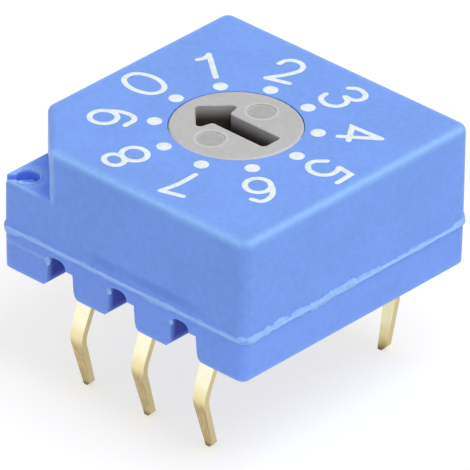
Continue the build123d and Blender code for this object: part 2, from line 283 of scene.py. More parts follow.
@dataclass(frozen=True)
class MouldedPlastic:
    """Matt moulded plastic: faint flow marks and mottling in its colour and a fine grain on its skin."""

    name: str
    colour: Colour
    flow: float = 0.03
    flow_size: float = 2.2 * MM
    mottle: float = 0.035
    mottle_size: float = 0.17 * MM
    roughness: Point = (0.36, 0.44)
    sheen_size: float = 0.5 * MM
    specular: float = 0.2
    grain_size: float = 0.07 * MM
    grain_depth: float = 0.004 * MM
    grain_strength: float = 0.5

    def make(self) -> Material:
        """Builds the nodes that every moulded plastic has.

        Returns:
            The finished material.
        """
        graph = ShaderGraph(self.name)
        flow = graph.remap(graph.noise(self.flow_size, RAGGED), USUAL, GROWING)
        colour = graph.blend(flow, scaled(self.colour, 1 - self.flow), scaled(self.colour, 1 + self.flow))
        mottle = graph.remap(graph.noise(self.mottle_size), USUAL, (1 - self.mottle, 1 + self.mottle))
        graph.feed(graph.dim(self.tinted(graph, colour), mottle), "Base Color")
        graph.feed(graph.remap(graph.noise(self.sheen_size), USUAL, self.roughness), "Roughness")
        graph.relief(graph.noise(self.grain_size, PLAIN), self.grain_depth, self.grain_strength)
        graph.set(Specular_IOR_Level=self.specular)
        return graph.material

    def tinted(self, graph: ShaderGraph, colour: Socket) -> Socket:
        """Returns the colour as it is; a finish with marks, painted shade or painted highlight of its own
        adds them here.
        """
        return colour


@dataclass(frozen=True)
class CoverPlastic(MouldedPlastic):
    """The cover's plastic: paler index corner, partly scuffing and partly painted highlight, painted
    highlight on the face's edges, painted shade in its broken gate and over the seam.
    """

    # Paler colour of the index corner: scuffing round the gate and painted highlight on the ledge and its
    # edges.
    scuffed_and_highlit: Colour = (0.31, 0.53, 1.0)
    # Painted highlight colour for the face's edges.
    rim: Colour = (0.265, 0.53, 1.0)
    # Painted shade colour deep in the gate.
    gate_shade_colour: Colour = (0.18, 0.35, 0.95)
    shaded: Colour = (0.150, 0.305, 0.86)
    wall: float = 5.0 * MM
    top: float = 4.85 * MM
    rim_width: float = 0.36 * MM
    shade_height: float = 1.86 * MM
    shade_band: Point = (0.08 * MM, 0.24 * MM)
    shade_front: Point = (-4.95 * MM, -4.85 * MM)
    shade_start: Point = (-2.5 * MM, 0.0)
    shade_end: Point = (2.5 * MM, 3.9 * MM)
    patch_size: float = 1.2 * MM
    patches: tuple[Point, Point] = ((0.3, 0.6), (0.65, 1.0))
    # Where the ledge and the index corner's edges pale: partly scuffing, partly painted highlight.
    ledge: float = 3.11 * MM
    ledge_skin: Point = (0.03 * MM, 0.11 * MM)
    over_ledge: Point = (-0.1 * MM, 0.1 * MM)
    outer_edge: Point = (4.86 * MM, 4.95 * MM)
    corner_reach: Point = (0.75 * MM, 1.5 * MM)
    cut_end: Point = (-2.97 * MM, -5.0 * MM)
    cut_reach: Point = (0.08 * MM, 0.26 * MM)
    # How far the ledge round the gate and the cut edge pale: scuffing and painted highlight together.
    paling: float = 0.9
    gate: Point = (-4.43 * MM, -4.43 * MM)
    gate_reach: Point = (0.45 * MM, 0.825 * MM)
    # Where the painted shade in the gate lies.
    gate_edge: Point = (0.62 * MM, 0.66 * MM)
    gate_inside: Point = (4.94 * MM, 4.975 * MM)
    gate_heights: Point = (3.09 * MM, 2.99 * MM)

    def tinted(self, graph: ShaderGraph, colour: Socket) -> Socket:
        """Adds the painted shade over the seam and the painted highlight on the top edges, then the index
        corner's marks: scuffing, painted highlight and the painted shade in the gate.

        Args:
            graph: the material's graph.
            colour: the plain colour.

        Returns:
            The colour with its marks.
        """
        colour = graph.blend(self.seam_shade(graph), colour, self.shaded)
        colour = graph.blend(self.top_edge_highlight(graph), colour, self.rim)
        colour = graph.blend(self.scuffs_and_highlights(graph), colour, self.scuffed_and_highlit)
        return graph.blend(self.depth(graph), colour, self.gate_shade_colour)

    def seam_shade(self, graph: ShaderGraph) -> Socket:
        """Returns the share of the dull, patchy band over the seam of the front."""
        return graph.mask(
            (graph.gap(graph.axis("Z"), self.shade_height), self.shade_band, FADING),
            (graph.axis("Y"), self.shade_front, FADING),
            (graph.axis("X"), self.shade_start, GROWING),
            (graph.axis("X"), self.shade_end, FADING),
            (graph.noise(self.patch_size, RAGGED), *self.patches),
        )

    def top_edge_highlight(self, graph: ShaderGraph) -> Socket:
        """Returns the share of the painted highlight along the edges of the face, paler towards them."""
        edge = self.wall + self.top
        out_and_up = graph.sum("ADD", graph.outward(), graph.axis("Z"))
        return graph.remap(out_and_up, (edge - self.rim_width, edge), GROWING)

    def scuffs_and_highlights(self, graph: ShaderGraph) -> Socket:
        """Builds the share of the pale ledge round the gate, partly scuffing and partly painted highlight,
        and of the painted highlight on the index corner's outer and cut edges.

        Args:
            graph: the material's graph.

        Returns:
            The share.
        """
        height = graph.sum("SUBTRACT", graph.axis("Z"), self.ledge)
        level = graph.remap(graph.sum("ABSOLUTE", height), self.ledge_skin, FADING)
        gap = graph.from_line(self.gate)
        near = graph.remap(gap, self.gate_reach, (self.paling, 0.0))
        outer = graph.remap(graph.outward(), self.outer_edge, GROWING)
        corner = graph.product(outer, graph.remap(gap, self.corner_reach, FADING))
        flat = graph.product(graph.sum("MAXIMUM", near, corner), level)
        # Painted highlight along the cut edge of the index corner.
        pale_edges = graph.remap(graph.from_line(self.cut_end), self.cut_reach, (self.paling, 0.0))
        above = graph.remap(height, self.over_ledge, GROWING)
        return graph.sum("MAXIMUM", flat, graph.product(pale_edges, above))

    def depth(self, graph: ShaderGraph) -> Socket:
        """Returns the share of the shade down in the gate."""
        return graph.mask(
            (graph.from_line(self.gate), self.gate_edge, FADING),
            (graph.outward(), self.gate_inside, FADING),
            (graph.axis("Z"), self.gate_heights, GROWING),
        )


@dataclass(frozen=True)
class BasePlastic(MouldedPlastic):
    """The base's plastic: deep shade in the notches that its pins leave through, and a pale weld flash."""

    flash_colour: Colour = (0.32, 0.53, 1.0)
    flash_from: Point = (5.0 * MM, 5.02 * MM)
    # Paler towards the bottom of the foot.
    foot: Point = (0.03 * MM, 0.26 * MM)
    foot_paling: float = 0.4
    # A pale line at a small mould step beside the first notch: painted highlight on its edge.
    witness_height: float = 1.0 * MM
    witness_band: Point = (0.015 * MM, 0.09 * MM)
    witness_highlight: float = 0.55
    witness_end: Point = (-3.05 * MM, -3.0 * MM)
    witness_front: Point = (-4.95 * MM, -4.9 * MM)
    notch_colour: Colour = (0.022, 0.060, 0.50)
    notch_pitch: float = 2.54 * MM
    notch_side: Point = (0.62 * MM, 0.713 * MM)
    notch_depth: Point = (4.7 * MM, 5.0 * MM)
    notch_heights: Point = (0.01 * MM, 0.35 * MM)
    row_end: Point = (3.556 * MM, 3.683 * MM)

    def tinted(self, graph: ShaderGraph, colour: Socket) -> Socket:
        """Pales the flash, the foot and a witness line, which is painted highlight on a small mould step, and
        darkens the notches with painted shade.

        Args:
            graph: the material's graph.
            colour: the plain colour.

        Returns:
            The colour with its marks and the notches' shade.
        """
        proud = graph.remap(graph.outward(), self.flash_from, GROWING)
        colour = graph.blend(proud, colour, self.flash_colour)
        colour = graph.blend(self.pale_edges(graph), colour, self.flash_colour)
        return graph.blend(self.notch_shade(graph), colour, self.notch_colour)

    def pale_edges(self, graph: ShaderGraph) -> Socket:
        """Builds the share of the paler foot and of the pale line beside the first notch, a painted highlight
        on the edge of a small mould step.

        Args:
            graph: the material's graph.

        Returns:
            The share.
        """
        height = graph.axis("Z")
        foot = graph.remap(height, self.foot, (self.foot_paling, 0.0))
        witness = graph.mask(
            (graph.gap(height, self.witness_height), self.witness_band, (self.witness_highlight, 0.0)),
            (graph.axis("X"), self.witness_end, FADING),
            (graph.axis("Y"), self.witness_front, FADING),
        )
        return graph.sum("MAXIMUM", foot, witness)

    def notch_shade(self, graph: ShaderGraph) -> Socket:
        """Returns the share of the shade in the notches, which grows from their mouths inwards."""
        nearest = graph.sum("WRAP", graph.axis("X"), self.notch_pitch / 2, -self.notch_pitch / 2)
        return graph.mask(
            (graph.sum("ABSOLUTE", nearest), self.notch_side, FADING),
            (graph.sum("ABSOLUTE", graph.axis("X")), self.row_end, FADING),
            (graph.sum("ABSOLUTE", graph.axis("Y")), self.notch_depth, FADING),
            (graph.axis("Z"), self.notch_heights, GROWING),
        )


@dataclass(frozen=True)
class WeldPlastic(MouldedPlastic):
    """The weld flash's plastic: as blue as the walls at its foot and pale where it stands out of them."""

    wall_colour: Colour = (0.2, 0.376, 0.96)
    reach: float = 4.65 * MM
    corner: float = 0.35 * MM
    pale_from: Point = (0.002 * MM, 0.046 * MM)

    def tinted(self, graph: ShaderGraph, colour: Socket) -> Socket:
        """Blends from the wall's colour to the pale one, with the distance out of the rounded walls.

        Args:
            graph: the material's graph.
            colour: the plain colour.

        Returns:
            The blended colour.
        """
        sides = [graph.sum("SUBTRACT", graph.sum("ABSOLUTE", graph.axis(name)), self.reach) for name in "XY"]
        off = [graph.sum("MAXIMUM", side, 0.0) for side in sides]
        proud = graph.sum("SUBTRACT", graph.distance(*off), self.corner)
        return graph.blend(graph.remap(proud, self.pale_from, GROWING), self.wall_colour, colour)


@dataclass(frozen=True)
class DialPlastic(MouldedPlastic):
    """The dial's plastic: painted shade down its driver slot and inside its two marks, painted highlight on
    its edge and round the marks.
    """

    # Painted shade that darkens the slot from its rim down.
    slot_shade_colour: Colour = (0.068, 0.054, 0.047)
    slot_shade_heights: Point = (4.3 * MM, 4.85 * MM)
    # Painted highlight on the dial's edge and round the marks, and painted shade inside the marks.
    paling: float = 1.22
    shadow: float = 0.84
    edge: Point = (1.95775 * MM, 2.01925 * MM)
    mark_offset: float = 1.13 * MM
    mark_floor: Point = (0.345 * MM, 0.4508 * MM)
    ring_radius: float = 0.4876 * MM
    ring_width: float = 0.0736 * MM

    def tinted(self, graph: ShaderGraph, colour: Socket) -> Socket:
        """Darkens the marks with painted shade and pales the rims with painted highlight, then darkens the
        colour from the slot's rim down with painted shade.

        Args:
            graph: the material's graph.
            colour: the plain colour.

        Returns:
            The colour with its marks.
        """
        # Painted highlight on the edge and round the marks; painted shade inside the marks and down the slot.
        across, along = graph.axis("X"), graph.axis("Y")
        pale_edges = graph.remap(graph.distance(across, along), self.edge, GROWING)
        off = graph.sum("SUBTRACT", graph.sum("ABSOLUTE", along), self.mark_offset)
        mark = graph.distance(across, off)
        inside = graph.remap(mark, self.mark_floor, FADING)
        ring = graph.remap(graph.gap(mark, self.ring_radius), (0.0, self.ring_width), FADING)
        colour = graph.blend(inside, colour, scaled(self.colour, self.shadow))
        colour = graph.blend(graph.sum("MAXIMUM", pale_edges, ring), colour, scaled(self.colour, self.paling))
        return graph.blend(graph.height(*self.slot_shade_heights), self.slot_shade_colour, colour)


@dataclass(frozen=True)
class PlatedMetal:
    """Gold-plated strip: bright, dark on its sheared edges, painted shade on its tips and a painted
    reflection that darkens from a height down.
    """

    name: str
    # Heights where the painted reflection turns from bright, through amber, to darker and browner lower down.
    reflected_bright_height: float
    reflected_dark_height: float
    colour: Colour = (1.0, 0.955, 0.70)
    amber: Colour = (0.86, 0.76, 0.42)
    reflected_dark: Colour = (0.54, 0.415, 0.20)
    sheared: Colour = (0.64, 0.53, 0.29)
    sheared_facing: Point = (0.5, 0.8)
    # Painted shade at the pins' lower ends.
    tip_shade: Colour = (0.20, 0.15, 0.09)
    tip_shade_heights: Point = (-3.72 * MM, -3.5 * MM)
    roughness: Point = (0.16, 0.28)
    roll_size: float = 0.05 * MM
    roll_stretch: Triple = (1.0, 1.0, 16.0)
    streak_size: float = 0.12 * MM
    streak_stretch: Triple = (1.0, 1.0, 5.0)
    bright_streaks: Point = (0.97, 1.0)
    dull_streaks: Point = (0.86, 1.14)

    def make(self) -> Material:
        """Builds the material.

        Returns:
            The finished material.
        """
        graph = ShaderGraph(self.name)
        rolled = graph.noise(self.roll_size, stretch=self.roll_stretch)
        streaks = graph.remap(graph.noise(self.streak_size, stretch=self.streak_stretch), USUAL, GROWING)
        bright = graph.blend(streaks, *(scaled(self.colour, tone) for tone in self.bright_streaks))
        dull = graph.blend(streaks, *(scaled(self.reflected_dark, tone) for tone in self.dull_streaks))
        # Painted reflection: bright above, amber between the heights, darker below.
        middle = (self.reflected_dark_height + self.reflected_bright_height) / 2
        amber = graph.blend(graph.height(self.reflected_dark_height, middle), dull, self.amber)
        broad = graph.blend(graph.height(middle, self.reflected_bright_height), amber, bright)
        edge = graph.remap(graph.facing("X"), self.sheared_facing, GROWING)
        worked = graph.blend(edge, broad, self.sheared)
        # Painted shade at the lower ends, over the rest.
        graph.feed(graph.blend(graph.height(*self.tip_shade_heights), self.tip_shade, worked), "Base Color")
        graph.feed(graph.remap(rolled, USUAL, self.roughness), "Roughness")
        graph.set(Metallic=1.0)
        return graph.material


@dataclass(frozen=True)
class RolledSteel:
    """Thin spring strip with rolling marks along Y."""

    name: str
    colour: Colour = (0.52, 0.52, 0.54)
    tones: Point = (0.85, 1.1)
    roughness: Point = (0.28, 0.42)
    roll_size: float = 0.03 * MM
    roll_stretch: Triple = (1.0, 16.0, 1.0)

    def make(self) -> Material:
        """Builds the material.

        Returns:
            The finished material.
        """
        graph = ShaderGraph(self.name)
        rolled = graph.noise(self.roll_size, stretch=self.roll_stretch)
        graph.feed(graph.blend(rolled, *(scaled(self.colour, tone) for tone in self.tones)), "Base Color")
        graph.feed(graph.remap(rolled, USUAL, self.roughness), "Roughness")
        graph.set(Metallic=1.0)
        return graph.material


@dataclass(frozen=True)
class Rubber:
    """Black moulded rubber, dusty in patches."""

    name: str
    colour: Colour = (0.035, 0.035, 0.037)
    dusty: float = 1.9
    dust_size: float = 0.4 * MM
    roughness: Point = (0.6, 0.75)
    grain_size: float = 0.05 * MM
    grain_depth: float = 0.004 * MM
    grain_strength: float = 0.4

    def make(self) -> Material:
        """Builds the material.

        Returns:
            The finished material.
        """
        graph = ShaderGraph(self.name)
        dust = graph.noise(self.dust_size, RAGGED)
        graph.feed(graph.blend(dust, self.colour, scaled(self.colour, self.dusty)), "Base Color")
        graph.feed(graph.remap(dust, USUAL, self.roughness), "Roughness")
        graph.relief(graph.noise(self.grain_size), self.grain_depth, self.grain_strength)
        return graph.material


@dataclass(frozen=True)
class PrintInk:
    """Pad-printed ink, a little thinner in places so that its white varies."""

    name: str
    colour: Colour = (0.865, 0.95, 1.0)
    thin_colour: Colour = (0.74, 0.855, 0.97)
    thin_size: float = 0.16 * MM
    thin_range: Point = (0.25, 0.6)
    roughness: float = 0.55

    def make(self) -> Material:
        """Builds the material.

        Returns:
            The finished material.
        """
        graph = ShaderGraph(self.name)
        cover = graph.remap(graph.noise(self.thin_size, RAGGED), self.thin_range, GROWING)
        graph.feed(graph.blend(cover, self.thin_colour, self.colour), "Base Color")
        graph.set(Roughness=self.roughness)
        return graph.material


def dress(node: str, material: Material) -> None:
    """Gives a CAD node a material on every slot.

    Args:
        node: the CAD node's name.
        material: its finish.
    """
    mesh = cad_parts[node].data
    mesh.materials.clear()
    mesh.materials.append(material)
    LOG.info("dressed %s in %s", node, material.name)


def piece_from(bm: Shape, name: str, material: Material) -> bpy.types.Object:
    """Turns a bmesh into a shown object at the frame's origin.

    Args:
        bm: the shape, in metres, in its place; it is freed.
        name: the piece's name.
        material: its finish.

    Returns:
        The new object.
    """
    mesh = bpy.data.meshes.new(name)
    bm.to_mesh(mesh)
    bm.free()
    mesh.materials.append(material)
    piece = bpy.data.objects.new(name, mesh)
    bpy.context.scene.collection.objects.link(piece)
    LOG.info("built %s with %d faces", name, len(mesh.polygons))
    return piece


def add_to_housing(bm: Shape, name: str, material: Material) -> None:
    """Makes a shape a smooth piece that rides on the housing.

    Args:
        bm: the shape, in metres, in its place; it is freed.
        name: the piece's name.
        material: its finish.
    """
    for face in bm.faces:
        face.smooth = True
    piece = piece_from(bm, name, material)
    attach(piece, Body.HOUSING.value)


def evaluated_mesh(holder: bpy.types.Object) -> bpy.types.Mesh:
    """Takes the final mesh of an object and removes the object.

    Args:
        holder: a new object, not linked to the scene yet.

    Returns:
        Its mesh, with its bevel or its modifiers applied.
    """
    bpy.context.scene.collection.objects.link(holder)
    graph = bpy.context.evaluated_depsgraph_get()
    mesh = bpy.data.meshes.new_from_object(holder.evaluated_get(graph))
    bpy.data.objects.remove(holder)
    return mesh


def melted(bm: Shape, step: float, shortest: float = 0.125) -> Shape:
    """Melts shapes that overlap into one closed skin.

    Args:
        bm: the shapes, each of them closed; it is freed.
        step: about how long the skin's faces are.
        shortest: the share of a step under which an edge is dropped.

    Returns:
        The skin.
    """
    mesh = bpy.data.meshes.new("melt")
    bm.to_mesh(mesh)
    bm.free()
    holder = bpy.data.objects.new("melt", mesh)
    remesh = holder.modifiers.new("melt", "REMESH")
    remesh.mode = "VOXEL"
    remesh.voxel_size = step
    skin = evaluated_mesh(holder)
    result = bmesh.new()
    result.from_mesh(skin)
    bmesh.ops.dissolve_degenerate(result, dist=step * shortest, edges=result.edges)
    for spent in (mesh, skin):
        bpy.data.meshes.remove(spent)
    return result


@dataclass(frozen=True)
class Stroke:
    """One run of the pen, through points across and up a numeral in millimetres."""

    pen: Pen
    points: tuple[Point, ...]
    closed: bool = False


def curved(*points: Point, closed: bool = False) -> Stroke:
    """Returns a stroke that runs smoothly through its points."""
    return Stroke(Pen.CURVED, points, closed)


def straight(*points: Point) -> Stroke:
    """Returns a stroke with a corner at each inner point."""
    return Stroke(Pen.STRAIGHT, points)


NUMERALS: tuple[tuple[Stroke, ...], ...] = (
    (curved((-0.02, 0.74), (0.47, 0.03), (-0.02, -0.68), (-0.51, 0.03), closed=True),),
    (
        curved((-0.38, 0.46), (-0.19, 0.50), (-0.05, 0.60), (0.03, 0.73)),
        straight((0.03, 0.73), (-0.03, -0.71)),
    ),
    (
        curved(
            (-0.45, 0.32), (-0.34, 0.57), (-0.07, 0.68), (0.23, 0.56),
            (0.33, 0.26), (0.14, -0.10), (-0.44, -0.66),
        ),
        straight((-0.44, -0.68), (0.34, -0.68)),
    ),
    (
        curved(
            (-0.46, 0.40), (-0.32, 0.61), (-0.06, 0.69), (0.24, 0.60),
            (0.34, 0.38), (0.23, 0.16), (-0.06, 0.05),
        ),
        curved(
            (-0.06, 0.05), (0.26, -0.06), (0.37, -0.34), (0.23, -0.62),
            (-0.08, -0.73), (-0.36, -0.63), (-0.48, -0.40),
        ),
    ),
    (
        straight((0.09, 0.66), (-0.52, -0.31), (0.33, -0.33)),
        straight((0.09, 0.66), (0.12, -0.67)),
    ),
    (
        straight((0.33, 0.67), (-0.33, 0.63), (-0.39, 0.09)),
        curved(
            (-0.39, 0.09), (-0.06, 0.20), (0.26, 0.08), (0.40, -0.25),
            (0.27, -0.60), (-0.04, -0.73), (-0.41, -0.44),
        ),
    ),
    (
        curved((0.38, 0.52), (0.12, 0.69), (-0.20, 0.50), (-0.36, 0.06), (-0.36, -0.29)),
        curved((0.03, 0.17), (0.43, -0.26), (0.03, -0.68), (-0.37, -0.26), closed=True),
    ),
    (
        straight((-0.31, 0.67), (0.45, 0.66)),
        curved((0.45, 0.66), (0.14, 0.09), (-0.10, -0.67)),
    ),
    (
        curved((0.01, 0.72), (0.36, 0.43), (0.01, 0.11), (-0.34, 0.43), closed=True),
        curved((0.01, 0.11), (0.43, -0.30), (0.01, -0.68), (-0.41, -0.30), closed=True),
    ),
    (
        curved((0.03, 0.71), (0.43, 0.28), (0.03, -0.15), (-0.37, 0.28), closed=True),
        curved((0.43, 0.30), (0.41, -0.26), (0.06, -0.68), (-0.38, -0.45)),
    ),
)


@dataclass
class FacePrint:
    """The ring of numerals and dots printed on the cover's face; the pen's sizes are in millimetres."""

    ink: Material
    face: float
    centre: Point = (0.06 * MM, -0.066 * MM)
    start_deg: float = 180.0
    step_deg: float = -36.0
    ink_height: float = 0.012 * MM
    numeral_radius: float = 3.757 * MM
    numeral_scale: float = 0.979
    pen_width: float = 0.185
    pen_steps: int = 10
    pen_sides: int = 3
    end_segments: tuple[int, int] = (20, 10)
    melt_step: float = 0.02
    dot_radius: float = 2.48 * MM
    dot_size: float = 0.475 * MM
    dot_segments: tuple[int, int] = (36, 12)

    def build(self) -> None:
        """Prints every numeral with its dot."""
        for number, strokes in enumerate(NUMERALS):
            turn = math.radians(self.start_deg + self.step_deg * number)
            add_to_housing(self.numeral(strokes, turn), f"numeral_{number}", self.ink)
            add_to_housing(self.dot(turn), f"dot_{number}", self.ink)

    def spot(self, turn: float, radius: float) -> Matrix:
        """Places a shape on the face, its top away from the dial.

        Args:
            turn: the angle round the dial, in radians.
            radius: the distance from the dial's axis.

        Returns:
            The matrix that takes it there.
        """
        across, along = self.centre
        spot = Vector((across + radius * math.cos(turn), along + radius * math.sin(turn), self.face))
        return Matrix.Translation(spot) @ Matrix.Rotation(turn - math.pi / 2, 4, "Z")

    def numeral(self, strokes: tuple[Stroke, ...], turn: float) -> Shape:
        """Draws a numeral with a round pen, melts its strokes into one and presses it on the face.

        Args:
            strokes: the runs of the pen.
            turn: the angle round the dial, in radians.

        Returns:
            The numeral's shape in its place.
        """
        drawn = bmesh.new()
        for stroke in strokes:
            self.draw(drawn, stroke)
        bm = melted(drawn, self.melt_step)
        pressed = Matrix.Diagonal((MM, MM, 2 * self.ink_height / self.pen_width, 1.0))
        bmesh.ops.transform(bm, matrix=self.spot(turn, self.numeral_radius) @ pressed, verts=bm.verts)
        return bm

    def draw(self, bm: Shape, stroke: Stroke) -> None:
        """Adds a round bead along a stroke, with round ends.

        Args:
            bm: the shape that it is added to.
            stroke: the run of the pen.
        """
        curve = self.curve(stroke)
        mesh = evaluated_mesh(bpy.data.objects.new("stroke", curve))
        bm.from_mesh(mesh)
        bpy.data.meshes.remove(mesh)
        bpy.data.curves.remove(curve)
        ends = stroke.points if stroke.pen is Pen.STRAIGHT else (stroke.points[0], stroke.points[-1])
        columns, rows = self.end_segments
        size = self.pen_width / 2
        for end in () if stroke.closed else ends:
            place = Matrix.Translation(self.knot(end))
            bmesh.ops.create_uvsphere(bm, u_segments=columns, v_segments=rows, radius=size, matrix=place)

    def curve(self, stroke: Stroke) -> bpy.types.Curve:
        """Lays a round curve along a stroke.

        Args:
            stroke: the run of the pen.

        Returns:
            The curve, as thick as the pen.
        """
        curve = bpy.data.curves.new("stroke", "CURVE")
        curve.dimensions = "2D"
        curve.fill_mode = "NONE"
        curve.resolution_u = self.pen_steps
        curve.bevel_depth = self.pen_width / 2
        curve.bevel_resolution = self.pen_sides
        curve.use_fill_caps = not stroke.closed
        spline = curve.splines.new("BEZIER")
        spline.bezier_points.add(len(stroke.points) - 1)
        spline.use_cyclic_u = stroke.closed
        for knot, point in zip(spline.bezier_points, stroke.points):
            knot.co = self.knot(point)
            knot.handle_left_type = knot.handle_right_type = stroke.pen.value
        return curve

    def knot(self, point: Point) -> Triple:
        """Returns a point of a stroke at the printed scale."""
        return (point[0] * self.numeral_scale, point[1] * self.numeral_scale, 0.0)

    def dot(self, turn: float) -> Shape:
        """Prints one round dot.

        Args:
            turn: the angle round the dial, in radians.

        Returns:
            The dot's shape in its place.
        """
        bm = bmesh.new()
        columns, rows = self.dot_segments
        bmesh.ops.create_uvsphere(bm, u_segments=columns, v_segments=rows, radius=self.dot_size / 2)
        flat = Matrix.Scale(2 * self.ink_height / self.dot_size, 4, (0, 0, 1))
        bmesh.ops.transform(bm, matrix=self.spot(turn, self.dot_radius) @ flat, verts=bm.verts)
        return bm


@dataclass
class Bead:
    """A lumpy bead of plastic along a line on the housing; each kind of bead says where it runs.

    Each wave is how much it adds to the bead and how long it is; the bead wanders by a share of its rise.
    """

    name: str
    plastic: Material
    proud: float
    rise: float
    steps: int
    sides: int = 12
    join_gap: float = 0.0002 * MM
    waves: tuple[Point, ...] = ((0.35, 0.9 * MM), (0.35, 0.26 * MM), (0.25, 0.1 * MM))
    usual_size: float = 0.74
    least_size: float = 0.4
    wander: float = 0.25
    wander_length: float = 0.45 * MM
    wander_seed: Triple = (9.0, 4.0, 2.0)

    def build(self) -> None:
        """Rolls a grid round the bead's line and joins its ends."""
        bm = bmesh.new()
        bmesh.ops.create_grid(bm, x_segments=self.steps, y_segments=self.sides, size=1.0)
        for vert in bm.verts:
            vert.co = self.skin((vert.co.x + 1) / 2, math.pi * (vert.co.y + 1))
        bmesh.ops.remove_doubles(bm, verts=bm.verts, dist=self.join_gap)
        bmesh.ops.recalc_face_normals(bm, faces=bm.faces)
        add_to_housing(bm, self.name, self.plastic)

    def skin(self, share: float, turn: float) -> Vector:
        """Finds a point of the bead's surface.

        Args:
            share: how far along the line it is, from 0 to 1.
            turn: the angle round the line, in radians from the way out.

        Returns:
            The point.
        """
        line, way = self.path(share)
        size = self.size(line, share)
        out = way * self.proud * size * math.cos(turn)
        return line + out + Vector((0, 0, self.rise * size * math.sin(turn) + self.drift(line)))

    def drift(self, line: Vector) -> float:
        """Returns how far the bead strays up from its line at a point."""
        return self.wander * self.rise * noise.noise(line / self.wander_length + Vector(self.wander_seed))

    def lump(self, line: Vector) -> float:
        """Returns what the waves add to the bead at a point of its line."""
        return sum(height * noise.noise(line / length) for height, length in self.waves)

    def size(self, line: Vector, share: float) -> float:
        """Returns how full the bead is at a point of its line, up to 1."""
        return clamped(self.usual_size + self.lump(line), self.least_size)

    def path(self, share: float) -> tuple[Vector, Vector]:
        """Returns a point of the bead's line and the way out there."""
        raise NotImplementedError


@dataclass
class WeldFlash(Bead):
    """The bead that the weld pressed out all round the seam: even, but rough on the right wall.

    It is fuller, and waves and strays more, where it is rough; two corners are lumps of their own.
    """

    half_side: float = 5.0 * MM
    corner: float = 0.35 * MM
    height: float = 1.465 * MM
    waves: tuple[Point, ...] = ((0.22, 0.9 * MM), (0.2, 0.26 * MM), (0.14, 0.1 * MM))
    usual_size: float = 0.6
    least_size: float = 0.35
    calm_waves: float = 0.9
    rough_waves: float = 0.8
    rough_size: float = 0.25
    rough_end: float = 0.6
    lift: float = 0.03 * MM
    stray: float = 0.11 * MM
    stray_length: float = 0.9 * MM
    stray_seed: Triple = (3.0, 1.0, 0.0)
    corner_lifts: tuple[tuple[int, int, float], ...] = ((1, 1, 0.11 * MM), (-1, -1, -0.09 * MM))
    corner_reach: float = 0.9 * MM
    corner_size: float = 0.5

    def rough(self, line: Vector) -> float:
        """Returns how rough the weld is at a point: up to 1 on the right wall, towards the front."""
        right = (line.x - self.half_side) / self.corner + 1
        return clamped(right) * clamped(self.rough_end - line.y / self.half_side)

    def drift(self, line: Vector) -> float:
        """Returns how far the bead strays up from its line; it strays most where it is rough."""
        stray = self.lift + self.stray * noise.noise(line / self.stray_length + Vector(self.stray_seed))
        corner = sum(near * lift for near, lift in self.corner_shares(line))
        return super().drift(line) + self.rough(line) * stray + corner

    def corner_shares(self, line: Vector) -> list[tuple[float, float]]:
        """Returns how near a point is to each lumpy corner, up to 1, and how far the bead is lifted there."""
        side = self.half_side
        corners = ((Vector((x * side, y * side, self.height)), lift) for x, y, lift in self.corner_lifts)
        return [(max(0.0, 1 - (line - corner).length / self.corner_reach), lift) for corner, lift in corners]

    def size(self, line: Vector, share: float) -> float:
        """Finds how full the bead is at a point of its line.

        Args:
            line: the point on the bead's line.
            share: how far round it is, from 0 to 1.

        Returns:
            The size, up to 1.
        """
        rough = self.rough(line)
        corner = sum(near for near, _ in self.corner_shares(line))
        size = self.usual_size + self.rough_size * rough + self.corner_size * corner
        return clamped(size + (self.calm_waves + self.rough_waves * rough) * self.lump(line), self.least_size)

    def path(self, share: float) -> tuple[Vector, Vector]:
        """Follows the wall once round, a side and a corner at a time.

        Args:
            share: how far round it is, from 0 to 1.

        Returns:
            The point on the wall and the way out of it.
        """
        reach = self.half_side - self.corner
        quarter, along = divmod(4 * share, 1)
        run = along * (2 * reach + math.pi / 2 * self.corner)
        bend = max(0.0, (run - 2 * reach) / self.corner)
        way = Vector((math.cos(bend), math.sin(bend), 0))
        start = Vector((reach, min(run, 2 * reach) - reach, self.height))
        spin = Matrix.Rotation(quarter * math.pi / 2, 3, "Z")
        return spin @ (start + way * self.corner), spin @ way


@dataclass
class GateBurr(Bead):
    """The torn rim round the broken gate, open towards the corner."""

    centre: Vector = field(default_factory=lambda: Vector((-4.43 * MM, -4.43 * MM, 3.11 * MM)))
    radius: float = 0.44 * MM
    open_to_deg: float = 225.0
    open_deg: float = 70.0
    taper: float = 14.0
    slim: float = 0.35
    full_until: float = 0.4

    def path(self, share: float) -> tuple[Vector, Vector]:
        """Follows the rim from one side of the break to the other.

        Args:
            share: how far along it is, from 0 to 1.

        Returns:
            The point on the rim and the way out from the gate.
        """
        turn = math.radians(self.open_to_deg + self.open_deg / 2 + (360 - self.open_deg) * share)
        way = Vector((math.cos(turn), math.sin(turn), 0))
        return self.centre + way * self.radius, way

    def size(self, line: Vector, share: float) -> float:
        """Finds how full the rim is; it is fullest on the front side of the break.

        Args:
            line: the point on the rim.
            share: how far along it is, from 0 to 1.

        Returns:
            The size, up to 1, and 0 at both ends.
        """
        ends = min(1.0, self.taper * share, self.taper * (1 - share))
        full = self.slim + (1 - self.slim) * max(0.0, 1 - share / self.full_until)
        return ends * full * super().size(line, share)


